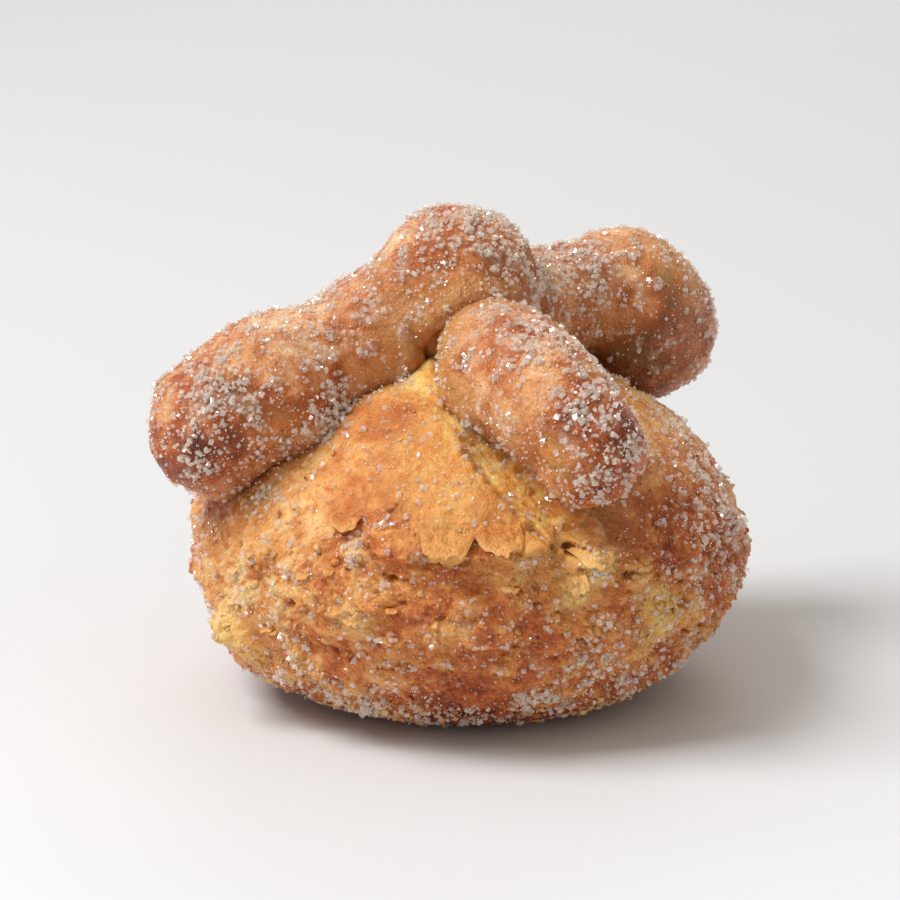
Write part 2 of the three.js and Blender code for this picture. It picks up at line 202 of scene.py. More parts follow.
# Patches where the sugar has caked: they start where noise is over bare, less the more sugared.
PLAQUE = dict(height=0.2, size=2.2, bare=0.42, sugared=0.50, edge=0.12)
# How far dough is drawn out where pieces meet, over what gap, and how deep in its neighbour.
STRETCH = dict(height=0.75, more_at_heart=0.45, reach=1.9, deepest=1.5)

# Pits that stand out: azimuth, height, radius, depth.
PITS = (
    (-127, 20.5, 0.9, 1.3),
    (-114, 26.4, 0.6, 1),
    (-105, 25.7, 0.7, 1),
    (-121, 15.2, 0.8, 1.1),
    (-67, 28.7, 1.3, 2.4),
    (-57, 25, 1, 1.6),
    (-43, 19.2, 1, 1.4),
)
LESSER_PITS = 150
PIT_SQUASH = (0.8, 0.8, 1.3)  # pits are wider than they are tall

# Flakes of crust that lift off: azimuth, height of the root, half width, length, stand, raggedness.
FLAKES = (
    (-94, 32.6, 3.8, 4.4, 1, 0.2),
    (-84.5, 33.2, 3.4, 4.8, 1.2, 0.3),
    (-75.5, 32.4, 3.9, 4.2, 1.1, 0.32),
    (-64.5, 28.9, 2.2, 2.4, 0.7, 0.25),
    (-69.5, 25.9, 2.2, 2.2, 0.6, 0.25),
    (-117, 33, 2.5, 2.2, 0.5, 0.2),
    (-113, 21.4, 2.2, 1.7, 0.6, 0.25),
)
LESSER_FLAKES = 120
FLAKE_GRID, LESSER_FLAKE_GRID = (40, 20), (9, 5)  # columns and rows of points

# Sugar crystals to the square mm: anywhere, and more where the dough is sugared, where the
# sugar has caked and where it is clumped.
CRYSTALS_ON_BONE = dict(anywhere=0.10, sugared=0.30, caked=1.0, clumped=0.9)
CRYSTALS_ON_BUN = dict(anywhere=0.13, sugared=0.12, caked=0.75, clumped=0.75)
SUNK = 0.25  # the share of a grain that lies in the crust
PILED = 0.7  # how far grains are piled up in a clump
LEAST_ROOM = 0.15  # between a grain and the next dough piece
LOWEST_SPOT = 0.6

CRAGGY_SIDE = np.array((0.1, -1.0, 0.05)) / math.sqrt(0.1**2 + 1 + 0.05**2)
CRAGGY_FINENESS = 0.30
BUN_GRID = 124  # divisions of each of the six sides that the bun's mesh has
KNOB_GRID = 52
BONE_RINGS = 114
BONE_AROUND = 132
ROOM_STEPS = 60  # places along a bone where its distance from a point is tried


# ---- Small mathematics, on arrays of points ----

def smooth(low, high, x):
    t = np.clip((x - low) / (high - low), 0, 1)
    return t * t * (3 - 2 * t)


def lengths(vectors):
    return np.linalg.norm(vectors, axis=-1)


def unit(vectors):
    return vectors / np.maximum(lengths(vectors), 1e-12)[..., None]


def stacked(x, y, z):
    """Points from their coordinates, of which any may be one number for all."""
    return np.stack(np.broadcast_arrays(x, y, z), 1)


def cell_value(i, j, k):
    """A repeatable number from 0 to 1 for a cell of a grid."""
    v = np.sin(i * 127.1 + j * 311.7 + k * 74.7) * 43758.5453
    return v - np.floor(v)


def noise(points):
    """Smooth noise from -1 to 1, with a new value about every unit."""
    cell = np.floor(points)
    t = points - cell
    t = t * t * (3 - 2 * t)
    total = np.zeros(len(points))
    for corner in np.ndindex(2, 2, 2):
        share = np.prod(np.where(corner, t, 1 - t), axis=1)
        total += share * cell_value(*(cell + corner).T)
    return total * 2 - 1


def layered(points, octaves):
    """Noise of several sizes together, each half as strong and half the size.

    A number added to the points gives other noise of the same kind.
    """
    total, strength, weight = np.zeros(len(points)), 1.0, 0.0
    for _ in range(octaves):
        total += strength * noise(points)
        weight += strength
        strength /= 2
        points = points * 2.03 + 7.1
    return total / weight


def turn(a, b):
    """Degrees turned from b to a, between -180 and 180."""
    return (a - b + 180) % 360 - 180


def azimuths(points):
    return np.degrees(np.arctan2(points[:, 1], points[:, 0]))


# ---- The bun ----

def bun_reach(direction):
    """The plain outline's distance from the middle of the widest level."""
    out, up = lengths(direction[:, :2]), direction[:, 2]
    tall = np.where(up > 0, BUN["rise"], BUN["drop"])
    fullness = np.where(up > 0, BUN["upper_fullness"], BUN["lower_fullness"])
    return ((out / BUN["radius"]) ** fullness + (np.abs(up) / tall) ** fullness) ** (-1 / fullness)


def bun_point(azimuth, height):
    """The point of the plain outline at an azimuth in degrees and a height."""
    up = height - BUN["widest"]
    tall, fullness = (
        (BUN["rise"], BUN["upper_fullness"]) if up > 0 else (BUN["drop"], BUN["lower_fullness"])
    )
    out = BUN["radius"] * (1 - (abs(up) / tall) ** fullness) ** (1 / fullness)
    angle = math.radians(azimuth)
    return np.array((out * math.cos(angle), out * math.sin(angle), height))


BUN_MIDDLE = np.array((0, 0, BUN["widest"]))
TEAR_LINE = [bun_point(*place) for place in TEAR["line"]]


def sum_patches(points, places):
    """The sum over round patches, each x, y, z, reach and strength."""
    total = np.zeros(len(points))
    for *middle, reach, strength in places:
        total += strength * np.exp(-((lengths(points - middle) / reach) ** 2))
    return total


def on_bun(places):
    """Patches given by azimuth and height, as sum_patches takes them."""
    return [(*bun_point(*place[:2]), *place[2:]) for place in places]


def bun_patches(points, places):
    return sum_patches(points, on_bun(places))


def furrows(direction):
    azimuth, out = azimuths(direction), lengths(direction[:, :2])
    under = smooth(0.15, 0.75, direction[:, 2]) * smooth(0, 0.3, out)
    total = np.zeros(len(direction))
    for bone in BONES.values():
        end = bone["path"][3]
        away = np.radians(turn(azimuth, math.degrees(math.atan2(end[1], end[0]))))
        total -= FURROW["depth"] * under * np.exp(-((away / FURROW["half_width"]) ** 2))
    return total


def swellings(plain):
    return sum_patches(plain, [FILL, *on_bun(SWELLINGS)])


def tear_place(plain):
    """How far each point is from the tear, which side of it, and how far along it."""
    away = np.full(len(plain), np.inf)
    side = np.zeros(len(plain))
    along = np.zeros(len(plain))
    for i, (start, end) in enumerate(zip(TEAR_LINE, TEAR_LINE[1:])):
        run = end - start
        share = np.clip((plain - start) @ run / (run @ run), 0, 1)
        offset = plain - start - share[:, None] * run
        nearer = lengths(offset) < away
        left = unit(np.cross(start + end - 2 * BUN_MIDDLE, run))
        away = np.where(nearer, lengths(offset), away)
        side = np.where(nearer, offset @ left, side)
        along = np.where(nearer, (i + share) / (len(TEAR_LINE) - 1), along)
    return away, side, along


def tear_edge(plain, along):
    """How far the ragged edge of the tear is from its middle."""
    ragged = TEAR_EDGE["sway"] * noise(plain / TEAR_EDGE["sway_size"])
    ragged += TEAR_EDGE["fray"] * noise(plain / TEAR_EDGE["fray_size"])
    return TEAR["half_width"] * (0.35 + 0.65 * smooth(0, 0.5, along)) + ragged


def tear_lip(plain):
    """Where the crust is rolled up beside the tear, on the side away from the front bone."""
    away, side, along = tear_place(plain)
    ends = smooth(TEAR["half_width"] + 3, TEAR["half_width"] + 1, away)
    rolled = np.exp(-(((side - tear_edge(plain, along) - 0.8) / 0.9) ** 2))
    return rolled * ends * (0.3 + 0.7 * smooth(0.15, 0.45, along))


def tear_relief(plain):
    """The valley that the tear leaves, and how bare each point of it is."""
    away, side, along = tear_place(plain)
    edge, lip = tear_edge(plain, along), tear_lip(plain)
    inside = smooth(edge + 0.3, edge - 1.6, np.abs(side))
    inside *= smooth(edge + 1.2, edge - 1.2, away)
    floor = TEAR["depth"] * (0.15 + 0.85 * smooth(0.15, 0.55, along)) * inside
    rolled = (1.0 + 0.8 * noise(plain / 1.2) + 0.5 * noise(plain / 0.5)) * lip
    strands = 0.3 * inside * noise(stacked(side / 0.6, along * 5, 0))
    strands += 0.5 * inside * noise(plain / 2.2)
    return rolled + strands - floor, np.maximum(inside, 0.8 * lip)


def lips(plain):
    azimuth, size = azimuths(plain), LIP_EDGE["sway_size"]
    ragged = LIP_EDGE["sway"] * noise(stacked(plain[:, 0] / size, plain[:, 1] / size, 5.5))
    ragged += LIP_EDGE["fray"] * noise(plain / LIP_EDGE["fray_size"])
    total = np.zeros(len(plain))
    for start, end, height, slope, stand, fade in LIPS:
        off = turn(azimuth, (start + end) / 2)
        above = plain[:, 2] - (height + slope * off + ragged)
        proud = smooth(-0.35, 0.35, above) * np.exp(-np.maximum(above, 0) / fade)
        total += stand * proud * (1 - smooth(0.7, 1, np.abs(off) / ((end - start) / 2)))
    return total


def scaled(points, form):
    """Points in units of a form's own width and height."""
    return points / (form["across"], form["across"], form["up"])


def crags(plain):
    low = 1 - smooth(24, 36, plain[:, 2])
    return CRAGS["height"] * noise(scaled(plain, CRAGS)) * (0.35 + 0.65 * low)


def creased(plain, form, seed):
    """Rounded lumps with creases between them."""
    return form["height"] * (3 * np.abs(layered(scaled(plain, form) + seed, 2)) - 1)


def terraces(plain):
    """Layers of crust that end in little steps."""
    level = layered(scaled(plain, TERRACE) + 11, 3) * TERRACE["steps"]
    step = np.floor(level) + smooth(0.6, 0.95, level - np.floor(level))
    return TERRACE["height"] * (step - level) / TERRACE["steps"]


def fibres(plain):
    """Strands of crust drawn out beside the tear."""
    away, side, along = tear_place(plain)
    near = smooth(FIBRES["reach"], FIBRES["reach"] / 3, away) * smooth(0, 1.5, side)
    strands = stacked(side / FIBRES["across"], along * FIBRES["along"], 4.5)
    return FIBRES["height"] * near * layered(strands, 2)


def broken_crust(plain, bare):
    """Small relief of the crust: broken and crumbly low down, closer and smoother above."""
    low = 1 - smooth(27, 40, plain[:, 2])
    heaps = np.minimum(sum_patches(plain, CRUMB_HEAPS), HEAP["most"])
    relief = (0.25 + 0.75 * low) * (terraces(plain) + creased(plain, CLODS, 31))
    relief += (0.45 + 0.55 * low) * creased(plain, CRUMBS, 17)
    relief += ROUGH["height"] * layered(plain / ROUGH["size"] + 5, 3) + fibres(plain)
    relief += PLAQUE["height"] * plaques(plain, sugared_bun(plain))
    relief += heaps * (0.5 + 1.6 * np.abs(noise(plain / HEAP["size"])))
    return relief * (1 - 0.8 * bare) + GRIT["height"] * noise(plain / GRIT["size"])


def plaques(points, sugared):
    """Ragged patches of caked sugar, which take up more of the crust the more sugared it is."""
    needed = PLAQUE["bare"] - PLAQUE["sugared"] * sugared
    return smooth(needed, needed + PLAQUE["edge"], layered(points / PLAQUE["size"] + 41, 3))


def sugared_bun(points):
    """How thickly sugar lies on the bun, from 0 to 1: most in clumps and on the back."""
    height, azimuth = points[:, 2], azimuths(points)
    shoulder = smooth(12, 30, height) * smooth(60, 20, np.abs(turn(azimuth, 5)))
    back = 0.35 * smooth(110, 150, np.abs(turn(azimuth, -90)))
    clumps = sum_patches(points, [(*spot[:4], spot[4] / 2) for spot in SUGAR_CLUMPS])
    return np.clip(0.08 + 0.24 * shoulder + back + clumps, 0, 1)


def pit_places():
    """The pits that stand out, and lesser ones strewn over the lower two thirds."""
    rng = np.random.default_rng(5)
    strewn = []
    for _ in range(LESSER_PITS):
        azimuth, height = rng.uniform(-180, 180), 5 + 30 * rng.beta(1.3, 1.5)
        strewn.append((azimuth, height, rng.uniform(0.25, 0.7), rng.uniform(0.4, 1.0)))
    return [*PITS, *strewn]


ALL_PITS = pit_places()


def pits(plain):
    total = np.zeros(len(plain))
    for azimuth, height, radius, depth in ALL_PITS:
        away = lengths((plain - bun_point(azimuth, height)) * PIT_SQUASH) / radius
        total = np.maximum(total, depth * (1 - smooth(0.45, 1.15, away)))
    return total


def lumps(points, form, seed):
    """Two sizes of smooth noise together, as the solids have."""
    return form["height"] * layered(points / form["size"] + seed, 2)


def bun_form(direction):
    """The bun's main form: its plain outline, the relief on that, and how torn open it is."""
    plain = direction * bun_reach(direction)[:, None] + BUN_MIDDLE
    torn, bare = tear_relief(plain)
    relief = furrows(direction) + swellings(plain) + torn + lips(plain) + crags(plain)
    return plain, relief + lumps(plain, DOUGH_LUMPS, 3.3), bare


def crust_at(direction):
    """The bun's plain outline, its main relief, how torn open it is, and its small relief."""
    plain, relief, bare = bun_form(direction)
    return plain, relief, bare, broken_crust(plain, bare) - pits(plain)


def raised(plain, direction, relief):
    """The outline with its relief, which runs out towards the flat foot."""
    points = plain + direction * (relief * smooth(0.5, 5, plain[:, 2]))[:, None]
    points[:, 2] = np.maximum(points[:, 2], 0)
    return points


# ---- Grids ----

def split(quads):
    return np.concatenate((quads[:, [0, 1, 2]], quads[:, [0, 2, 3]]))


def facing_out(points, faces):
    """Triangles or quads round the origin, turned to face away from it."""
    a, b, c = (points[faces[:, i]] for i in range(3))
    inward = np.sum(np.cross(b - a, c - a) * a, 1) < 0
    faces[inward] = faces[inward][:, ::-1]
    return faces


def ball_grid(divisions):
    """Unit directions spread evenly over a ball, and the triangles between them."""
    span = np.arange(divisions + 1)
    a, b = (grid.ravel() for grid in np.meshgrid(span, span, indexing="ij"))
    sides = []
    for axis in range(3):
        for level in (0, divisions):
            side = np.empty((len(a), 3), int)
            side[:, axis] = level
            side[:, (axis + 1) % 3] = a
            side[:, (axis + 2) % 3] = b
            sides.append(side)
    corners, place = np.unique(np.concatenate(sides), axis=0, return_inverse=True)
    directions = unit(np.tan((corners / divisions * 2 - 1) * math.pi / 4))
    place = place.reshape(6, divisions + 1, divisions + 1)
    around = (place[:, :-1, :-1], place[:, 1:, :-1], place[:, 1:, 1:], place[:, :-1, 1:])
    quads = np.stack(around, -1).reshape(-1, 4)
    return directions, split(facing_out(directions, quads))


def tube_faces(rings, around):
    """Triangles of a tube of rings, closed by a pole at each end."""
    ring = np.arange(rings - 1)[:, None] * around
    step = np.arange(around)[None]
    after = (step + 1) % around
    quads = np.stack((ring + step, ring + around + step, ring + around + after, ring + after), -1)
    first, last = rings * around, rings * around + 1
    step, after = step[0], after[0]
    start = np.stack((np.full(around, first), step, after), 1)
    top = (rings - 1) * around
    end = np.stack((np.full(around, last), top + after, top + step), 1)
    return np.concatenate((split(quads.reshape(-1, 4)), start, end))


def sheet_faces(columns, rows):
    """Triangles of a thin closed sheet: a grid of outer points, then one of inner points."""
    count = columns * rows
    i = (np.arange(rows - 1)[:, None] * columns + np.arange(columns - 1)[None]).ravel()
    front = np.stack((i, i + columns, i + columns + 1, i + 1), 1)
    rim = np.concatenate((
        np.arange(columns), np.arange(1, rows) * columns + columns - 1,
        (rows - 1) * columns + np.arange(columns - 1)[::-1], np.arange(rows - 2, 0, -1) * columns,
    ))
    after = np.roll(rim, -1)
    edge = np.stack((rim, after, after + count, rim + count), 1)
    return split(np.concatenate((front, front[:, ::-1] + count, edge)))


# ---- Bones and knob ----

def bezier(path, t):
    a, b, c, d = np.array(path, float)
    t = t[:, None]
    return (1 - t) ** 3 * a + 3 * (1 - t) ** 2 * t * b + 3 * (1 - t) * t**2 * c + t**3 * d


def interpolated(places, known, rows):
    """The rows of an array, given at known places, worked out at others."""
    return np.stack([np.interp(places, known, column) for column in rows.T], 1)


def bone_line(bone, steps=400):
    """Points evenly spaced along a bone's middle, and its length."""
    points = bezier(bone["path"], np.linspace(0, 1, steps))
    run = np.concatenate(((0,), np.cumsum(lengths(np.diff(points, axis=0)))))
    return interpolated(np.linspace(0, run[-1], steps), run, points), run[-1]


def bone_girth(bone, share):
    """The radius at a share of the length, eased between the named ones."""
    at = np.array([g[0] for g in bone["girth"]])
    radius = np.array([g[1] for g in bone["girth"]], float)
    i = np.clip(np.searchsorted(at, share) - 1, 0, len(at) - 2)
    t = smooth(0, 1, (share - at[i]) / (at[i + 1] - at[i]))
    return radius[i] + (radius[i + 1] - radius[i]) * t


def bone_frames(bone, share):
    """A bone's middle and its directions forward, sideways and up, at shares of its length."""
    line, _ = bone_line(bone)
    spot, known = share * (len(line) - 1), np.arange(len(line))
    middle = interpolated(spot, known, line)
    forward = unit(interpolated(spot, known, unit(np.gradient(line, axis=0))))
    side = unit(np.cross(forward, (0, 0, 1)))
    return middle, forward, side, np.cross(side, forward)


def plain_bone(bone, rings, around):
    """A bone's plain surface and its normals, ring by ring and then the two poles."""
    length = bone_line(bone)[1]
    quarter = np.linspace(0, math.pi / 2, rings // 5 + 1)[1:]
    into = BONE_CAP * (1 - np.cos(quarter))
    straight = np.linspace(BONE_CAP, length - BONE_CAP, rings - 2 * len(into) + 2)[1:-1]
    along = np.concatenate((into, straight, length - into[::-1], (0, length)))
    past = np.clip(np.maximum(BONE_CAP - along, along - length + BONE_CAP) / BONE_CAP, 0, 1)
    ahead = np.where(along < length / 2, -past, past)
    middle, forward, side, top = bone_frames(bone, along / length)
    across = np.sqrt(1 - past**2)
    girth = bone_girth(bone, along / length)
    angle = (np.arange(around) * math.tau / around)[None, :, None]
    ring = np.cos(angle) * side[:-2, None] + np.sin(angle) * top[:-2, None]
    normals = ring * across[:-2, None, None] + (forward * ahead[:, None])[:-2, None]
    points = middle[:-2, None] + ring * (girth * across)[:-2, None, None]
    points = np.concatenate((points.reshape(-1, 3), middle[-2:]))
    normals = np.concatenate((normals.reshape(-1, 3), forward[-2:] * ((-1,), (1,))))
    shares = np.concatenate((np.repeat(along[:-2] / length, around), (0, 1)))
    return points, unit(normals), shares, len(along) - 2


def bone_room(bone, points):
    """How far points are outside a bone's plain form."""
    line, _ = bone_line(bone, ROOM_STEPS)
    girth = bone_girth(bone, np.linspace(0, 1, ROOM_STEPS))
    room = np.full(len(points), np.inf)
    for middle, radius in zip(line, girth):
        room = np.minimum(room, lengths(points - middle) - radius)
    return room + sum_patches(points, bone["hollows"])


def knob_room(points):
    return lengths(points - KNOB["centre"]) - KNOB["radius"]


def bun_room(points):
    offset = points - BUN_MIDDLE
    direction = unit(offset)
    plain, relief, _ = bun_form(direction)
    return lengths(offset) - lengths(raised(plain, direction, relief) - BUN_MIDDLE)


def room_outside(points, own):
    """How far points are outside every other piece than their own."""
    room = np.full(len(points), np.inf)
    if own != "bun":
        room = np.minimum(room, bun_room(points))
    if own != "knob":
        room = np.minimum(room, knob_room(points))
    for name, bone in BONES.items():
        if own != name:
            room = np.minimum(room, bone_room(bone, points))
    return room


def sugared_bone(points, normals):
    """How thickly sugar lies on a bone or the knob, from 0 to 1."""
    upward = smooth(-0.6, 0.6, normals[:, 2] + 0.35 * normals[:, 0])
    frost = sum_patches(points, [(*spot[:4], spot[5]) for spot in BONE_PATCHES])
    return np.clip(0.22 + 0.33 * upward + 0.6 * frost, 0, 1)


def stretched_dough(points, own):
    """Dough that is drawn out where a piece meets its neighbours, so that no seam is sharp."""
    room = room_outside(points, own)
    drawn = STRETCH["height"] + STRETCH["more_at_heart"] * at_heart(points)
    near = np.exp(-((np.maximum(room, 0) / STRETCH["reach"]) ** 2))
    return drawn * near * (room > -STRETCH["deepest"])


def at_heart(points):
    """How near points are, from 0 to 1, to where the bones meet in front."""
    return np.minimum(sum_patches(points, [HEART]), 1)


def bone_texture(plain, normals, ends):
    """Small relief of a bone or the knob: rough dough, knobbly at its browned ends."""
    relief = BONE_ROUGH["height"] * layered(plain / BONE_ROUGH["size"] + 3, 3)
    relief += BONE_GRIT["height"] * noise(plain / BONE_GRIT["size"])
    relief += (0.25 + 0.75 * ends) * creased(plain, BONE_KNOBBLES, 13)
    relief += creased(plain, BONE_CRUMBS, 19) * (0.6 + 0.6 * ends)
    return relief + 0.6 * PLAQUE["height"] * plaques(plain, sugared_bone(plain, normals))


# ---- Meshes ----

def make_piece(name, points, faces, material, masks=None, soft=True):
    """A mesh object from points in millimetres and triangles, with its masks as attributes."""
    mesh = bpy.data.meshes.new(name)
    mesh.vertices.add(len(points))
    mesh.vertices.foreach_set("co", (points * MM).astype(np.float32).ravel())
    mesh.loops.add(faces.size)
    mesh.loops.foreach_set("vertex_index", faces.astype(np.int32).ravel())
    mesh.polygons.add(len(faces))
    mesh.polygons.foreach_set("loop_start", np.arange(0, faces.size, 3, dtype=np.int32))
    mesh.polygons.foreach_set("use_smooth", np.full(len(faces), soft))
    mesh.materials.append(material)
    for mask, values in (masks or {}).items():
        attribute = mesh.attributes.new(mask, "FLOAT", "POINT")
        attribute.data.foreach_set("value", values.astype(np.float32))
    mesh.update(calc_edges=True)
    piece = bpy.data.objects.new(name, mesh)
    bpy.context.scene.collection.objects.link(piece)
    return piece


def bread_piece(name, points, faces, material, slot, masks=None, soft=True):
    """A piece of the bread, all of which is one body."""
    piece = make_piece(name, points, faces, material, masks, soft)
    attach(piece, "root")
    return piece


def join(parts):
    """Several meshes as one: their points, their faces, and any values of their points."""
    points, faces, *values = zip(*parts)
    starts = np.cumsum([0] + [len(part) for part in points[:-1]])
    faces = [part + start for part, start in zip(faces, starts)]
    return [np.concatenate(columns) for columns in (points, faces, *values)]


# ---- Materials ----

class Nodes:
    """Makes the nodes of one material."""

    def __init__(self, name):
        self.material = bpy.data.materials.new(name)
        self.material.use_nodes = True
        self.tree = self.material.node_tree
        self.place = self.add("ShaderNodeTexCoord").outputs["Object"]

    def add(self, kind, inputs=None, **settings):
        node = self.tree.nodes.new(kind)
        for key, value in settings.items():
            setattr(node, key, value)
        for key, value in (inputs or {}).items():
            self.put(node.inputs[key], value)
        return node

    def put(self, socket, value):
        if isinstance(value, bpy.types.NodeSocket):
            self.tree.links.new(value, socket)
        else:
            socket.default_value = value

    def finished(self, settings):
        """The material, once its shader's sockets have their values."""
        for name, value in settings.items():
            self.put(self.tree.nodes["Principled BSDF"].inputs[name], value)
        return self.material

    def math(self, operation, a, b=0.0, c=0.0, clamp=False):
        node = self.add("ShaderNodeMath", operation=operation, use_clamp=clamp)
        for socket, value in zip(node.inputs, (a, b, c)):
            self.put(socket, value)
        return node.outputs[0]

    def mask(self, name):
        return self.add("ShaderNodeAttribute", attribute_name=name).outputs["Fac"]

    def noise(self, size, detail, roughness, distortion=0.0):
        """Noise whose blotches are about size millimetres across."""
        inputs = {"Vector": self.place, "Scale": 1 / (size * MM), "Detail": detail,
                  "Roughness": roughness, "Distortion": distortion}
        return self.add("ShaderNodeTexNoise", inputs).outputs["Fac"]

    def mix(self, share, a, b):
        node = self.add("ShaderNodeMix", data_type="RGBA")
        for socket, value in zip((node.inputs[0], node.inputs[6], node.inputs[7]), (share, a, b)):
            self.put(socket, value)
        return node.outputs[2]

    def ramp(self, value, colours):
        """Colours that follow on each other evenly as the value goes from 0 to 1."""
        node = self.add("ShaderNodeValToRGB", {"Fac": value})
        stops = node.color_ramp.elements
        while len(stops) < len(colours):
            stops.new(0.5)
        for i, (stop, colour) in enumerate(zip(stops, colours)):
            stop.position = i / (len(colours) - 1)
            stop.color = colour
        return node.outputs["Color"]

    def range(self, value, low, high, to_low=0.0, to_high=1.0):
        inputs = {"Value": value, "From Min": low, "From Max": high,
                  "To Min": to_low, "To Max": to_high}
        return self.add("ShaderNodeMapRange", inputs, interpolation_type="SMOOTHSTEP").outputs["Result"]


def srgb(red, green, blue):
    """A colour given as it looks, from 0 to 255, as Blender's linear one."""
    def linear(c):
        c /= 255
        return c / 12.92 if c <= 0.04045 else ((c + 0.055) / 1.055) ** 2.4
    return (linear(red), linear(green), linear(blue), 1.0)


def tones(*colours):
    return [srgb(*colour) for colour in colours]


# From pale to dark, by how browned the crust is.
BUN_TONES = tones((244, 202, 136), (232, 162, 90), (206, 116, 48), (174, 78, 24), (118, 40, 10))
BONE_TONES = tones((246, 204, 158), (228, 162, 110), (194, 106, 50), (156, 70, 24), (106, 38, 12))
CRUMB_TONES = tones((238, 164, 70), (255, 214, 128))
# The crease tone is painted shade, laid into creases, hollows and the seams between pieces.
SPECK_TONE, CREASE_SHADE_TONE, WHITE_SUGAR = tones((70, 30, 18), (140, 52, 8), (255, 250, 242))
# The near floor's paler tone is painted light.
NEAR_FLOOR_PAINTED_LIGHT, FAR_FLOOR, FAR_CLOUDS = tones((230, 231, 233), (216, 217, 219), (219, 220, 222))
SPECKS_APART = 1.9


def crust_material(name, browning, frost, caked_tone, softness):
    """Baked crust, its colour worked out from four masks: how browned it is, which also holds painted
    shade; the pale crumb; painted shade in creases, hollows and seams; and caked sugar.
    """
    nodes = Nodes(name)
    blotch, mottle = nodes.noise(6, 4, 0.6, 0.5), nodes.noise(2.3, 3, 0.5, 0.4)
    pores, grain = nodes.noise(1.0, 3, 0.6), nodes.noise(0.4, 3, 0.6)
    # The browning mask, which also holds painted shade, picks the tone.
    brown_and_shade_level = nodes.mask("brown_and_shade")
    for texture, strength in ((blotch, 0.95), (mottle, 0.9), (grain, 0.4)):
        offset = nodes.math("SUBTRACT", texture, 0.5)
        brown_and_shade_level = nodes.math("MULTIPLY_ADD", offset, strength, brown_and_shade_level)
    colour = nodes.ramp(brown_and_shade_level, browning)

    crumb_tone = nodes.mix(nodes.range(mottle, 0.35, 0.65), *CRUMB_TONES)
    crumbly = nodes.range(mottle, 0.2, 0.55, 0.6, 1.0)
    crumb_share = nodes.math("MULTIPLY", nodes.mask("crumb"), crumbly, clamp=True)
    colour = nodes.mix(crumb_share, colour, crumb_tone)

    cells = {"Vector": nodes.place, "Scale": 1 / (SPECKS_APART * MM), "Randomness": 1.0}
    specks = nodes.add("ShaderNodeTexVoronoi", cells)
    tiny = nodes.range(specks.outputs["Distance"], 0.07, 0.14, 1.0, 0.0)
    cell_tone = nodes.add("ShaderNodeSeparateColor", {"Color": specks.outputs["Color"]})
    few = nodes.range(cell_tone.outputs[0], 0.72, 0.76)
    speck_share = nodes.math("MULTIPLY", nodes.math("MULTIPLY", tiny, few), 0.7)
    colour = nodes.mix(speck_share, colour, SPECK_TONE)

    # Painted shade: creases, the deepest hollows and the seams between pieces are darkened towards the
    # crease tone.
    crease_shade = nodes.math("MULTIPLY", nodes.mask("crease_shade"), 0.75, clamp=True)
    colour = nodes.mix(crease_shade, colour, CREASE_SHADE_TONE)

    dust = nodes.range(nodes.noise(0.5, 3, 0.7), 0.36, 0.52, 0.35, 1.0)
    caked = nodes.math("MULTIPLY", nodes.mask("frost"), dust, clamp=True)
    colour = nodes.mix(nodes.math("MULTIPLY", caked, frost), colour, caked_tone)

    height = nodes.math("MULTIPLY_ADD", grain, 0.7, pores)
    bump = nodes.add("ShaderNodeBump", {"Height": height, "Strength": 0.9, "Distance": 0.5 * MM})
    return nodes.finished({
        "Base Color": colour,
        "Roughness": nodes.range(grain, 0.42, 0.62, 0.55, 0.16),
        "Specular IOR Level": 0.2,
        "Subsurface Weight": softness,
        "Subsurface Radius": (1.0, 0.42, 0.16),
        "Subsurface Scale": 1.5 * MM,
        "Coat Weight": 0.5,
        "Coat Roughness": 0.12,
        "Normal": bump.outputs["Normal"],
        "Coat Normal": bump.outputs["Normal"],
    })


def sugar_material(name, colour, solid, transmission):
    """Sugar. A share of the light, 1 - solid, goes straight through each of its walls."""
    nodes = Nodes(name)
    return nodes.finished({
        "Base Color": nodes.mix(nodes.noise(0.5, 2, 0.5), srgb(*colour), WHITE_SUGAR),
        "Roughness": 0.08,
        "IOR": 1.45,
        "Transmission Weight": transmission,
        "Coat Weight": 1.0,
        "Coat Roughness": 0.13,
        "Coat IOR": 2.5,
        "Alpha": solid,
    })


def floor_material():
    """Pale and faintly clouded, and a little paler from just behind the bread forwards, as painted
    light on the near floor.
    """
    nodes = Nodes("floor")
    forward = nodes.add("ShaderNodeSeparateXYZ", {"Vector": nodes.place}).outputs["Y"]
    far = nodes.mix(nodes.noise(1000 / 6, 2, 0.5), FAR_FLOOR, FAR_CLOUDS)
    return nodes.finished({
        "Base Color": nodes.mix(nodes.range(forward, 0.05, -0.12), far, NEAR_FLOOR_PAINTED_LIGHT),
        "Roughness": 0.8,
        "Specular IOR Level": 0.2,
    })


bun_crust = crust_material("bun_crust", BUN_TONES, 0.5, srgb(232, 188, 140), 0.8)
thin_crust = crust_material("thin_crust", BUN_TONES, 0.5, srgb(236, 194, 148), 0.0)
bone_crust = crust_material("bone_crust", BONE_TONES, 0.4, srgb(232, 196, 168), 0.5)
clear_sugar = sugar_material("clear_sugar", (255, 236, 218), 0.46, 0.25)
fine_sugar = sugar_material("fine_sugar", (244, 212, 178), 1.0, 0.0)


# ---- How browned, bare and frosted the crust is, and where shade is painted on it ----

def bun_brown_and_shade(points, small=0.0):
    # Browning that also holds painted shade: darker towards the foot, partly as baked colour and partly
    # as painted shade; given the small relief, its hollows are darker and its rises paler, as painted
    # shade and light.
    brown_and_shade = 0.30 + 0.02 * smooth(30, 16, points[:, 2]) + 0.40 * smooth(8, 3, points[:, 2])
    brown_and_shade += 0.14 * layered(points / 9 + 2, 2) + bun_patches(points, BROWN_PATCHES)
    return brown_and_shade - 0.25 * bun_patches(points, CRUMB_PATCHES) - 0.2 * np.clip(small / 0.9, -1, 1)


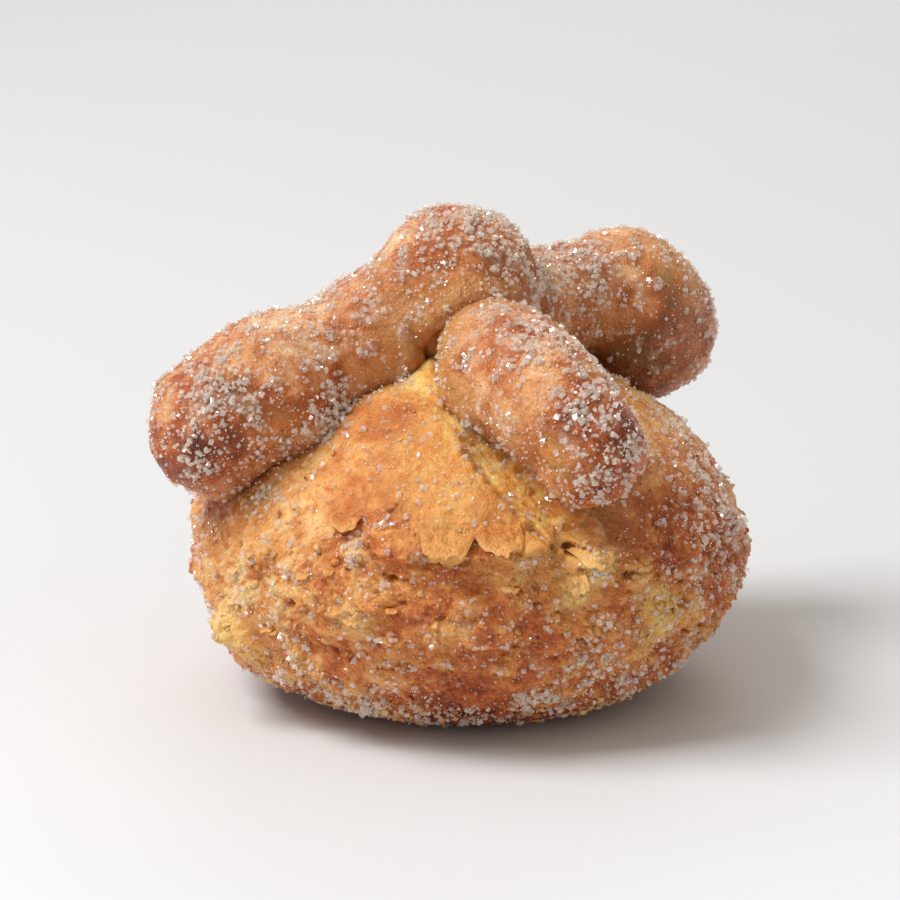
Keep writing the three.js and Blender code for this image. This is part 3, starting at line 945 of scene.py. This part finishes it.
def plain_crumb(points):
    """How pale and crumbly the crust is beside the tear and in patches."""
    beside_tear = 0.6 * np.exp(-((tear_place(points)[0] / 6.0) ** 2))
    heaps = 0.75 * np.minimum(sum_patches(points, CRUMB_HEAPS), 1)
    return np.maximum(beside_tear, heaps) + bun_patches(points, CRUMB_PATCHES)


def bun_masks(points, bare, small):
    room = np.maximum(room_outside(points, "bun"), 0)
    heart = at_heart(points)
    crumb = np.maximum(bare, plain_crumb(points) + heart * np.exp(-room / 3))
    # Painted shade along the seams where the other pieces meet the bun, with little of it where the
    # bones meet in front.
    seam_shade = np.exp(-room / 1.8) * (1 - 0.95 * heart)
    return {
        "brown_and_shade": bun_brown_and_shade(points, small),
        "crumb": np.clip(crumb, 0, 1),
        # Painted shade in the deepest hollows of the small relief and along the seams.
        "crease_shade": np.clip(0.9 * smooth(-1.0, -2.0, small) + 0.7 * seam_shade, 0, 1),
        "frost": plaques(points, sugared_bun(points)),
    }


def bone_masks(points, normals, ends, own):
    room = np.maximum(room_outside(points, own), 0)
    brown_and_shade = 0.40 + 0.12 * ends + 0.06 * normals[:, 2] + 0.24 * layered(points / 5 + 4, 2)
    brown_and_shade += sum_patches(points, [spot[:5] for spot in BONE_PATCHES])
    heart = at_heart(points)
    crumb = np.exp(-room / 4) * sum_patches(points, [HEART]) + sum_patches(points, AMBER_PATCHES)
    return {
        "brown_and_shade": brown_and_shade - 0.12 * np.exp(-room / 1.5),
        "crumb": np.clip(crumb, 0, 1),
        # Painted shade along the seams with the other pieces, and most where the bones meet in front.
        "crease_shade": 0.8 * np.exp(-room / 1.6) * (1 - heart) + np.exp(-room / 3) * heart,
        "frost": plaques(points, sugared_bone(points, normals)),
    }


# ---- The dough pieces ----

def make_bun():
    grid, faces = ball_grid(BUN_GRID)
    directions = unit(grid + CRAGGY_SIDE * CRAGGY_FINENESS)
    plain, relief, bare, small = crust_at(directions)
    points = raised(plain, directions, relief + small)
    masks = bun_masks(points, bare, small)
    piece = bread_piece("bun_dough", points, faces, bun_crust, "bun_crust", masks)
    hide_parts("bun")
    return points, faces


def make_bone(name):
    bone = BONES[name]
    plain, normals, shares, rings = plain_bone(bone, BONE_RINGS, BONE_AROUND)
    ends = smooth(0.72, 0.98, shares)
    relief = lumps(plain, BONE_LUMPS, bone["seed"])
    relief += bone_texture(plain, normals, ends) + stretched_dough(plain, name)
    relief -= sum_patches(plain, bone["hollows"])
    points = plain + normals * relief[:, None]
    faces = tube_faces(rings, BONE_AROUND)
    masks = bone_masks(points, normals, ends, name)
    piece = bread_piece(name + "_dough", points, faces, bone_crust, "bone_crust", masks)
    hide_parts(name)
    return points, faces


def make_knob():
    directions, faces = ball_grid(KNOB_GRID)
    plain = directions * KNOB["radius"]
    relief = lumps(plain, KNOB_LUMPS, 9)
    plain = plain + KNOB["centre"]
    ends = smooth(0.2, 0.9, directions[:, 2]) * 0.4
    relief += bone_texture(plain, directions, ends) + stretched_dough(plain, "knob")
    points = plain + directions * relief[:, None]
    masks = bone_masks(points, directions, ends, "knob")
    piece = bread_piece("knob_dough", points, faces, bone_crust, "bone_crust", masks)
    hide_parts("knob")
    return points, faces


dough = {"bun": make_bun(), "knob": make_knob()}
dough.update((name, make_bone(name)) for name in BONES)


# ---- Flakes of crust ----

def flake(azimuth, height, half_width, length, stand, ragged, rng, columns, rows):
    """A thin flake that lies on the bun by its upper edge and lifts off downwards."""
    root = bun_point(azimuth, height)
    out = unit(root - BUN_MIDDLE)
    side = unit(np.cross((0, 0, 1), out))
    down = -np.cross(out, side)
    lean = rng.uniform(-0.25, 0.25)
    # u runs across the flake from -1 to 1, and v down it from 0 to 1.
    u, v = (g.ravel() for g in np.meshgrid(np.linspace(-1, 1, columns), np.linspace(0, 1, rows)))
    jag = 0.9 * noise(stacked(u * 1.6 + height, azimuth, 0))
    jag += 0.5 * noise(stacked(u * 4.5 + azimuth, height, 0))
    jag += 0.3 * noise(stacked(u * 9 + height, azimuth, 0))
    tip = np.maximum(1 - 0.45 * np.abs(u) ** 5 + ragged * jag, 0.15)
    wander = 0.35 * v * noise(stacked(u * 3 + azimuth, v * 2.5, height))
    across = half_width * (u * (1 - 0.12 * v) + 0.3 * wander)
    fall = length * v * tip
    laid = root + side * (across + lean * fall)[:, None] + down * fall[:, None]

    direction = unit(laid - BUN_MIDDLE)
    plain, relief, _, small = crust_at(direction)
    crumbly = creased(plain, CRUMBS, 17) + 1.6 * ROUGH["height"] * layered(plain / 1.1 + 5, 3) + 0.3
    small += (crumbly - small) * smooth(0, 0.5, v)
    surface = raised(plain, direction, relief + small)

    lift = stand * v**1.4 * tip + 0.25 * stand * noise(stacked(u * 1.7 + azimuth, v * 1.5, 0)) * v
    lift += 0.25 * v - 0.4 * smooth(0.45, 0, v) + 0.3 * noise(plain / 0.9) * (1 - v)
    lift = np.where(lift > 0, lift * (1 - 0.8 * np.abs(u) ** 3), lift)
    thick = (0.25 + 0.55 * (1 - v)) * (1 - 0.5 * np.abs(u) ** 4)
    outer = surface + direction * lift[:, None]
    inner = surface + direction * (lift - thick)[:, None]
    return np.concatenate((outer, inner)), sheet_faces(columns, rows), np.concatenate((v, v))


def make_flakes():
    rng = np.random.default_rng(8)
    parts = [flake(*place, rng, *FLAKE_GRID) for place in FLAKES]
    for _ in range(LESSER_FLAKES):
        half_width = rng.uniform(0.5, 1.4)
        azimuth, height = rng.uniform(-150, 150), 7 + 25 * rng.beta(1.4, 1.4)
        length = half_width * rng.uniform(0.5, 1.0)
        stand = half_width * rng.uniform(0.1, 0.25)
        place = (azimuth, height, half_width, length, stand, 0.3)
        parts.append(flake(*place, rng, *LESSER_FLAKE_GRID))
    points, faces, down = join(parts)
    masks = {
        "brown_and_shade": bun_brown_and_shade(points),
        "crumb": np.clip(plain_crumb(points) * (1 - down) + 0.6 * down**2.5, 0, 1),
        "crease_shade": np.zeros(len(points)),
        "frost": np.zeros(len(points)),
    }
    bread_piece("crust_flakes", points, faces, thin_crust, "bun_crust", masks)


make_flakes()


# ---- Sugar and crumbs ----

def chunk():
    """A blunt crystal: a cube with its corners cut back to the middles of its edges."""
    corners = [c for c in np.ndindex(3, 3, 3) if sum(v == 1 for v in c) == 1]
    points = np.array(corners, float) - 1
    index = {tuple(p): i for i, p in enumerate(points)}
    cut = product((-1, 1), repeat=3)
    faces = [[index[x, y, 0], index[0, y, z], index[x, 0, z]] for x, y, z in cut]
    for axis, level in product(range(3), (-1, 1)):
        ring = []
        for a, b in ((1, 0), (0, 1), (-1, 0), (0, -1)):
            corner = [0, 0, 0]
            corner[axis], corner[(axis + 1) % 3], corner[(axis + 2) % 3] = level, a, b
            ring.append(index[tuple(corner)])
        faces += [[ring[0], ring[1], ring[2]], [ring[0], ring[2], ring[3]]]
    return points / math.sqrt(8), facing_out(points, np.array(faces))


def block():
    """A crystal of sugar: a small box."""
    points = np.array(list(np.ndindex(2, 2, 2)), float) * 0.8 - 0.4
    quads = ((0, 1, 3, 2), (4, 5, 7, 6), (0, 1, 5, 4), (2, 3, 7, 6), (0, 2, 6, 4), (1, 3, 7, 5))
    return points, facing_out(points, split(np.array(quads)))


def grain():
    """The simplest grain: eight sides."""
    points = np.concatenate((np.eye(3), -np.eye(3))) / 2
    faces = [[x, 1 + y, 2 + z] for x in (0, 3) for y in (0, 3) for z in (0, 3)]
    return points, facing_out(points, np.array(faces))


def random_turns(count, rng):
    """Random rotation matrices, from random unit quaternions."""
    w, x, y, z = unit(rng.normal(size=(count, 4))).T
    return np.stack((
        1 - 2 * (y * y + z * z), 2 * (x * y - z * w), 2 * (x * z + y * w),
        2 * (x * y + z * w), 1 - 2 * (x * x + z * z), 2 * (y * z - x * w),
        2 * (x * z - y * w), 2 * (y * z + x * w), 1 - 2 * (x * x + y * y),
    ), 1).reshape(-1, 3, 3)


def laid_turns(normals, tilt, rng):
    """Rotations that lay a chip's flat side on the crust, give or take a tilt."""
    up = unit(normals + rng.normal(0, tilt, normals.shape))
    ahead = unit(np.cross(up, rng.normal(size=normals.shape)))
    return np.stack((ahead, np.cross(up, ahead), up), 2)


def copies(faces, shapes, turns, spots):
    """Each shape turned and set on its spot, above the floor, and all joined as one mesh."""
    points = np.einsum("nij,nkj->nki", turns, shapes) + spots[:, None]
    points[..., 2] = np.maximum(points[..., 2], 0)
    faces = faces[None] + (np.arange(len(spots)) * shapes.shape[1])[:, None, None]
    return points.reshape(-1, 3), faces.reshape(-1, 3)


def grains_at(spots, sizes, template, rng):
    """Copies of a template, each with its own size, stretch, turn and dents, as one mesh."""
    shape, faces = template
    stretch = rng.uniform(0.72, 1.15, (len(spots), 1, 3))
    dents = rng.normal(0, 0.08, (len(spots), len(shape), 3))
    shapes = (shape * stretch + dents) * sizes[:, None, None]
    return copies(faces, shapes, random_turns(len(spots), rng), spots)


def spots_on(name, density, rng, times=1):
    """Random spots on a dough piece where nothing covers it, density to the square mm."""
    points, faces = dough[name]
    a, b, c = (points[faces[:, i]] for i in range(3))
    cross = np.cross(b - a, c - a)
    middle, normals = (a + b + c) / 3, unit(cross)
    expected = lengths(cross) / 2 * (times * density(middle, normals))
    pick = np.repeat(np.arange(len(faces)), rng.poisson(expected))
    s, t = rng.random((2, len(pick)))
    over = s + t > 1
    s[over], t[over] = 1 - s[over], 1 - t[over]
    spots = a[pick] + (b - a)[pick] * s[:, None] + (c - a)[pick] * t[:, None]
    free = (room_outside(spots, name) > LEAST_ROOM) & (spots[:, 2] > LOWEST_SPOT)
    return spots[free], normals[pick][free]


def patchy(points, size, low, high, seed):
    return smooth(low, high, layered(points / size + seed, 2))


def clumped(points):
    return sum_patches(points, SUGAR_CLUMPS)


def crystals(points, sugared, many):
    """How many crystals lie to the square mm."""
    spread = many["anywhere"] + many["sugared"] * sugared + many["caked"] * plaques(points, sugared)
    return spread + many["clumped"] * clumped(points)


def sugar_on_bone(points, normals):
    return crystals(points, sugared_bone(points, normals), CRYSTALS_ON_BONE)


def sugar_on_bun(points, normals):
    return crystals(points, sugared_bun(points), CRYSTALS_ON_BUN)


def fine_on_bone(points, normals):
    dusted = smooth(0, 0.3, sugared_bone(points, normals)) * patchy(points, 3, -0.5, 0.3, 15)
    return 0.2 + 0.7 * dusted + 0.8 * sugar_on_bone(points, normals)


def fine_on_bun(points, normals):
    return 0.25 + 0.9 * patchy(points, 4, -0.2, 0.4, 14) + 0.9 * sugar_on_bun(points, normals)


def scattered(names, times, density, least, most, template, seed):
    """One kind of grain over several dough pieces, piled up a little where it clumps."""
    rng = np.random.default_rng(seed)
    parts = []
    for name in names:
        spots, normals = spots_on(name, density, rng, times)
        sizes = least + (most - least) * rng.random(len(spots)) ** 2
        piled = PILED * np.clip(clumped(spots), 0, 1) * rng.random(len(spots)) ** 1.5
        spots = spots + normals * (sizes * (0.5 - SUNK) + piled)[:, None]
        parts.append(grains_at(spots, sizes, template, rng))
    return join(parts)


ON_BONES = ("knob", *BONES)
ON_BUN = ("bun",)
# The piece and its material, then where it lies, how many times its density, that density,
# the smallest and largest size, the template, and the seed.
SUGAR = (
    ("sugar_crystals_bones", clear_sugar, ON_BONES, 1.6, sugar_on_bone, 0.34, 0.86, block(), 21),
    ("sugar_crystals_bun", clear_sugar, ON_BUN, 1.3, sugar_on_bun, 0.34, 0.90, block(), 22),
    ("sugar_fine_bones", fine_sugar, ON_BONES, 1, fine_on_bone, 0.14, 0.38, grain(), 24),
    ("sugar_fine_bun", fine_sugar, ON_BUN, 1, fine_on_bun, 0.14, 0.38, grain(), 25),
)
for name, material, *how in SUGAR:
    bread_piece(name, *scattered(*how), material, "sugar", soft=False)


def heaped_crumbs(points):
    """How many more crumbs lie to the square mm, in heaps, along the rim and by the tear."""
    rim = smooth(1.2, 3, points[:, 2]) * smooth(7.0, 4.5, points[:, 2])
    rim *= smooth(4, 10, np.abs(turn(azimuths(points), -85)))
    rim = 0.8 * rim * patchy(points, 4, -0.3, 0.1, 16)
    return sum_patches(points, CRUMB_HEAPS) + rim + 1.6 * tear_lip(points)


def crumb_density(points, normals):
    """How many crumbs lie to the square mm: most low down, and fewer on the left side."""
    low = 0.12 + smooth(36, 26, points[:, 2])
    side = smooth(32, 20, np.abs(turn(azimuths(points), 180)))
    strewn = 0.2 * low * (1 - 0.8 * side) * (0.25 + 0.75 * patchy(points, 5, -0.4, 0.3, 8))
    return strewn + heaped_crumbs(points)


def make_crumbs():
    """Chips and crumbs of crust, half sunk, that break up the bun's surface."""
    rng = np.random.default_rng(31)
    spots, normals = spots_on("bun", crumb_density, rng)
    sizes = 0.5 + 1.5 * rng.random(len(spots)) ** 2.2
    shape, faces = chunk()
    flat = stacked(1, rng.uniform(0.6, 1, len(spots)), rng.uniform(0.25, 0.5, len(spots)))
    dents = rng.normal(0, 0.07, (len(spots), len(shape), 3))
    shapes = (shape * flat[:, None] + dents) * sizes[:, None, None]
    points, faces = copies(faces, shapes, laid_turns(normals, 0.35, rng), spots)
    own_shade = np.repeat(rng.normal(0, 0.08, len(spots)), len(shape))
    heaped = np.repeat(np.clip(heaped_crumbs(spots) / 0.4, 0, 1), len(shape))
    rim = smooth(9, 6, points[:, 2])
    masks = {
        "brown_and_shade": bun_brown_and_shade(points) + own_shade - 0.02 - (0.1 + 0.4 * rim) * heaped,
        "crumb": np.clip(0.5 * bun_patches(points, CRUMB_PATCHES) + 0.5 * heaped * (1 - rim), 0, 1),
        "crease_shade": np.zeros(len(points)),
        "frost": np.repeat(0.6 * rng.random(len(spots)) ** 3, len(shape)) + 0.7 * heaped,
    }
    bread_piece("crust_crumbs", points, faces, thin_crust, "bun_crust", masks)


make_crumbs()


# ---- Studio, in metres but for the view ----

VIEW = dict(
    target=(-2.4, 0.0, 33.2),  # the point at the middle of the picture, in millimetres
    distance=450.0,
    elevation=15.0,
    lens=127.8,
    sensor=36.0,
)
WORLD = dict(colour=(1.0, 0.94, 0.86, 1.0), strength=0.49)
KEY = dict(place=(-0.63, -0.18, 0.96), size=(0.54, 0.54), energy=11.6, colour=(0.97, 0.985, 1.0))
BACK = dict(place=(0.10, 1.1, 0.7), size=(0.9, 0.5), energy=3.2, colour=(1, 1, 1))
LIGHTS_AIM = (0, 0, 0.03)
FLOOR_HALF = 3.0


def make_camera():
    camera = bpy.data.cameras.new("camera")
    camera.lens, camera.sensor_width = VIEW["lens"], VIEW["sensor"]
    camera.clip_start, camera.clip_end = 0.01, 20
    piece = bpy.data.objects.new("camera", camera)
    rise = math.radians(VIEW["elevation"])
    back = Vector((0, -math.cos(rise), math.sin(rise)))
    piece.location = (Vector(VIEW["target"]) + back * VIEW["distance"]) * MM
    piece.rotation_euler = back.to_track_quat("Z", "Y").to_euler()
    bpy.context.scene.collection.objects.link(piece)
    bpy.context.scene.camera = piece


def make_light(name, place, size, energy, colour):
    light = bpy.data.lights.new(name, "AREA")
    light.shape, light.size, light.size_y = "RECTANGLE", *size
    light.energy, light.color = energy, colour
    piece = bpy.data.objects.new(name, light)
    piece.location = place
    piece.rotation_euler = (Vector(place) - Vector(LIGHTS_AIM)).to_track_quat("Z", "Y").to_euler()
    bpy.context.scene.collection.objects.link(piece)


def make_floor():
    corners = np.array([(x, y, 0) for x, y in ((-1, -1), (1, -1), (1, 1), (-1, 1))]) * FLOOR_HALF / MM
    floor = make_piece("floor", corners, np.array(((0, 1, 2), (0, 2, 3))), floor_material())


def make_world(colour, strength):
    world = bpy.data.worlds.new("studio")
    world.use_nodes = True
    background = world.node_tree.nodes["Background"]
    background.inputs["Color"].default_value = colour
    background.inputs["Strength"].default_value = strength
    bpy.context.scene.world = world


make_camera()
make_floor()
make_world(**WORLD)
make_light("key", **KEY)
make_light("back", **BACK)

scene = bpy.context.scene
scene.view_settings.view_transform = "Standard"
scene.cycles.use_denoising = True
